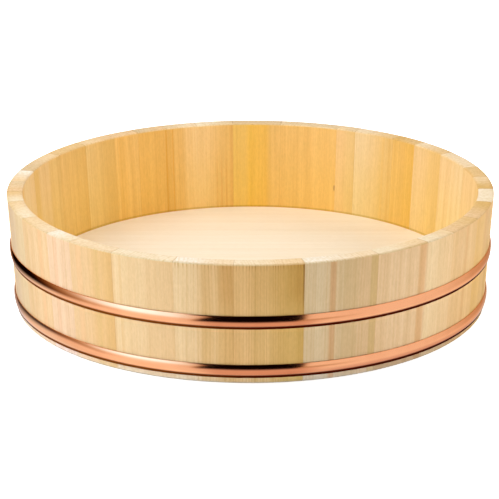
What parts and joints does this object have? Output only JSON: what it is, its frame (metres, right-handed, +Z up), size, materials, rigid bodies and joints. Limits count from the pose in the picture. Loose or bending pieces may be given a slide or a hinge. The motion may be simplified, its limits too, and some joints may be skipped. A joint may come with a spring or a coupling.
{
  "type": "sushi rice tub",
  "caption": "Low round coopered wooden tub with a leaning stave wall, a plank floor in a groove and two crowned copper hoops, for cooling and mixing sushi rice.",
  "frame": {"origin": "centre of the tub on the plane that it stands on", "axes": "+Z up along the tub's centre line, -Y towards the front that the picture shows, +X to the right"},
  "size_m": [0.4198, 0.4198, 0.101],
  "materials": {
    "sawara_pale": "planed, unfinished",
    "sawara_honey": "planed, unfinished",
    "sawara_tan": "planed, unfinished",
    "sawara_grey": "planed, unfinished",
    "sawara_floor": "planed, unfinished",
    "bamboo": "split and shaved",
    "copper": "polished copper"
  },
  "bodies": {
    "root": {"stave_01": "sawara_honey", "stave_02": "sawara_tan", "stave_03": "sawara_grey", "stave_04": "sawara_pale", "stave_05": "sawara_pale", "stave_06": "sawara_honey", "stave_07": "sawara_pale", "stave_08": "sawara_honey", "stave_09": "sawara_pale", "stave_10": "sawara_honey", "stave_11": "sawara_pale", "stave_12": "sawara_honey", "stave_13": "sawara_tan", "stave_14": "sawara_pale", "stave_15": "sawara_pale", "stave_16": "sawara_honey", "stave_17": "sawara_tan", "stave_18": "sawara_honey", "stave_19": "sawara_honey", "stave_20": "sawara_tan", "stave_21": "sawara_honey", "stave_22": "sawara_honey", "stave_23": "sawara_honey", "stave_24": "sawara_tan", "stave_25": "sawara_pale", "stave_26": "sawara_honey", "stave_27": "sawara_pale", "stave_28": "sawara_pale", "stave_29": "sawara_honey", "stave_30": "sawara_pale", "stave_31": "sawara_pale", "stave_32": "sawara_honey", "floor_plank_1": "sawara_floor", "floor_plank_2": "sawara_floor", "floor_plank_3": "sawara_floor", "floor_plank_4": "sawara_floor", "floor_plank_5": "sawara_floor", "floor_pin_01": "bamboo", "floor_pin_02": "bamboo", "floor_pin_03": "bamboo", "floor_pin_04": "bamboo", "floor_pin_05": "bamboo", "floor_pin_06": "bamboo", "floor_pin_07": "bamboo", "floor_pin_08": "bamboo", "floor_pin_09": "bamboo", "floor_pin_10": "bamboo", "floor_pin_11": "bamboo", "floor_pin_12": "bamboo", "upper_hoop": "copper", "lower_hoop": "copper"}
  },
  "joints": []
}
